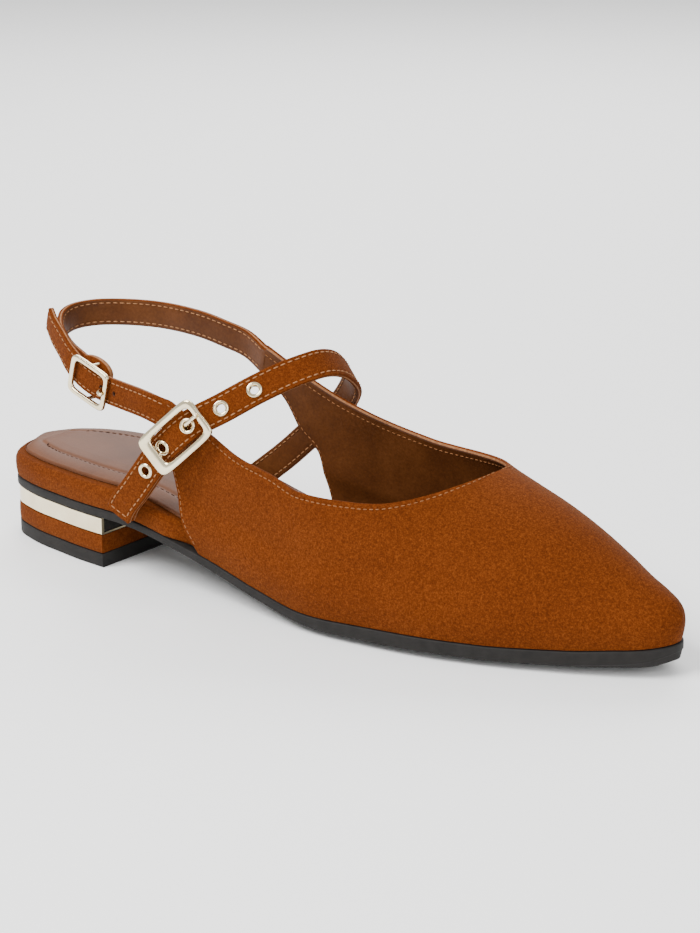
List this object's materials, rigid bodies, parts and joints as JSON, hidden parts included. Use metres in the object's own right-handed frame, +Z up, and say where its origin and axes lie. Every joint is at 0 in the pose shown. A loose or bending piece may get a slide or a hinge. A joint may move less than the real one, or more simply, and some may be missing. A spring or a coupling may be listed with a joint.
{
  "type": "sling back flat",
  "caption": "Women's pointed-toe slingback flat in cognac suede with a crossing instep strap, gold-tone buckles and a low stacked heel with a gold-tone band.",
  "frame": {"origin": "on the ground at the middle of the heel lift's bottom face, 23 mm in front of the outsole's rear end", "axes": "+X towards the toe, +Y towards the inner side of the foot, +Z up"},
  "size_m": [0.262, 0.0795, 0.0816],
  "materials": {
    "suede": "brushed cognac suede with a short nap",
    "sole_rubber": "dark grey-brown satin rubber",
    "gold_metal": "polished pale gold plate",
    "sock_leather": "smooth taupe leather with a stitched margin"
  },
  "bodies": {
    "root": {"heel_lift": "sole_rubber", "heel_block": "suede", "heel_band": "gold_metal", "heel_core": "sole_rubber", "outsole": "sole_rubber", "footbed_board": "suede", "insole_sock": "sock_leather", "upper": "suede", "slingback_strap": "suede", "slingback_tail": "suede", "rear_prong": "gold_metal", "rear_buckle": "gold_metal", "instep_strap": "suede", "instep_billet": "suede", "main_buckle": "gold_metal", "main_prong": "gold_metal", "eyelet_1": "gold_metal", "eyelet_2": "gold_metal", "eyelet_3": "gold_metal", "eyelet_4": "gold_metal", "eyelet_5": "gold_metal"}
  },
  "joints": []
}
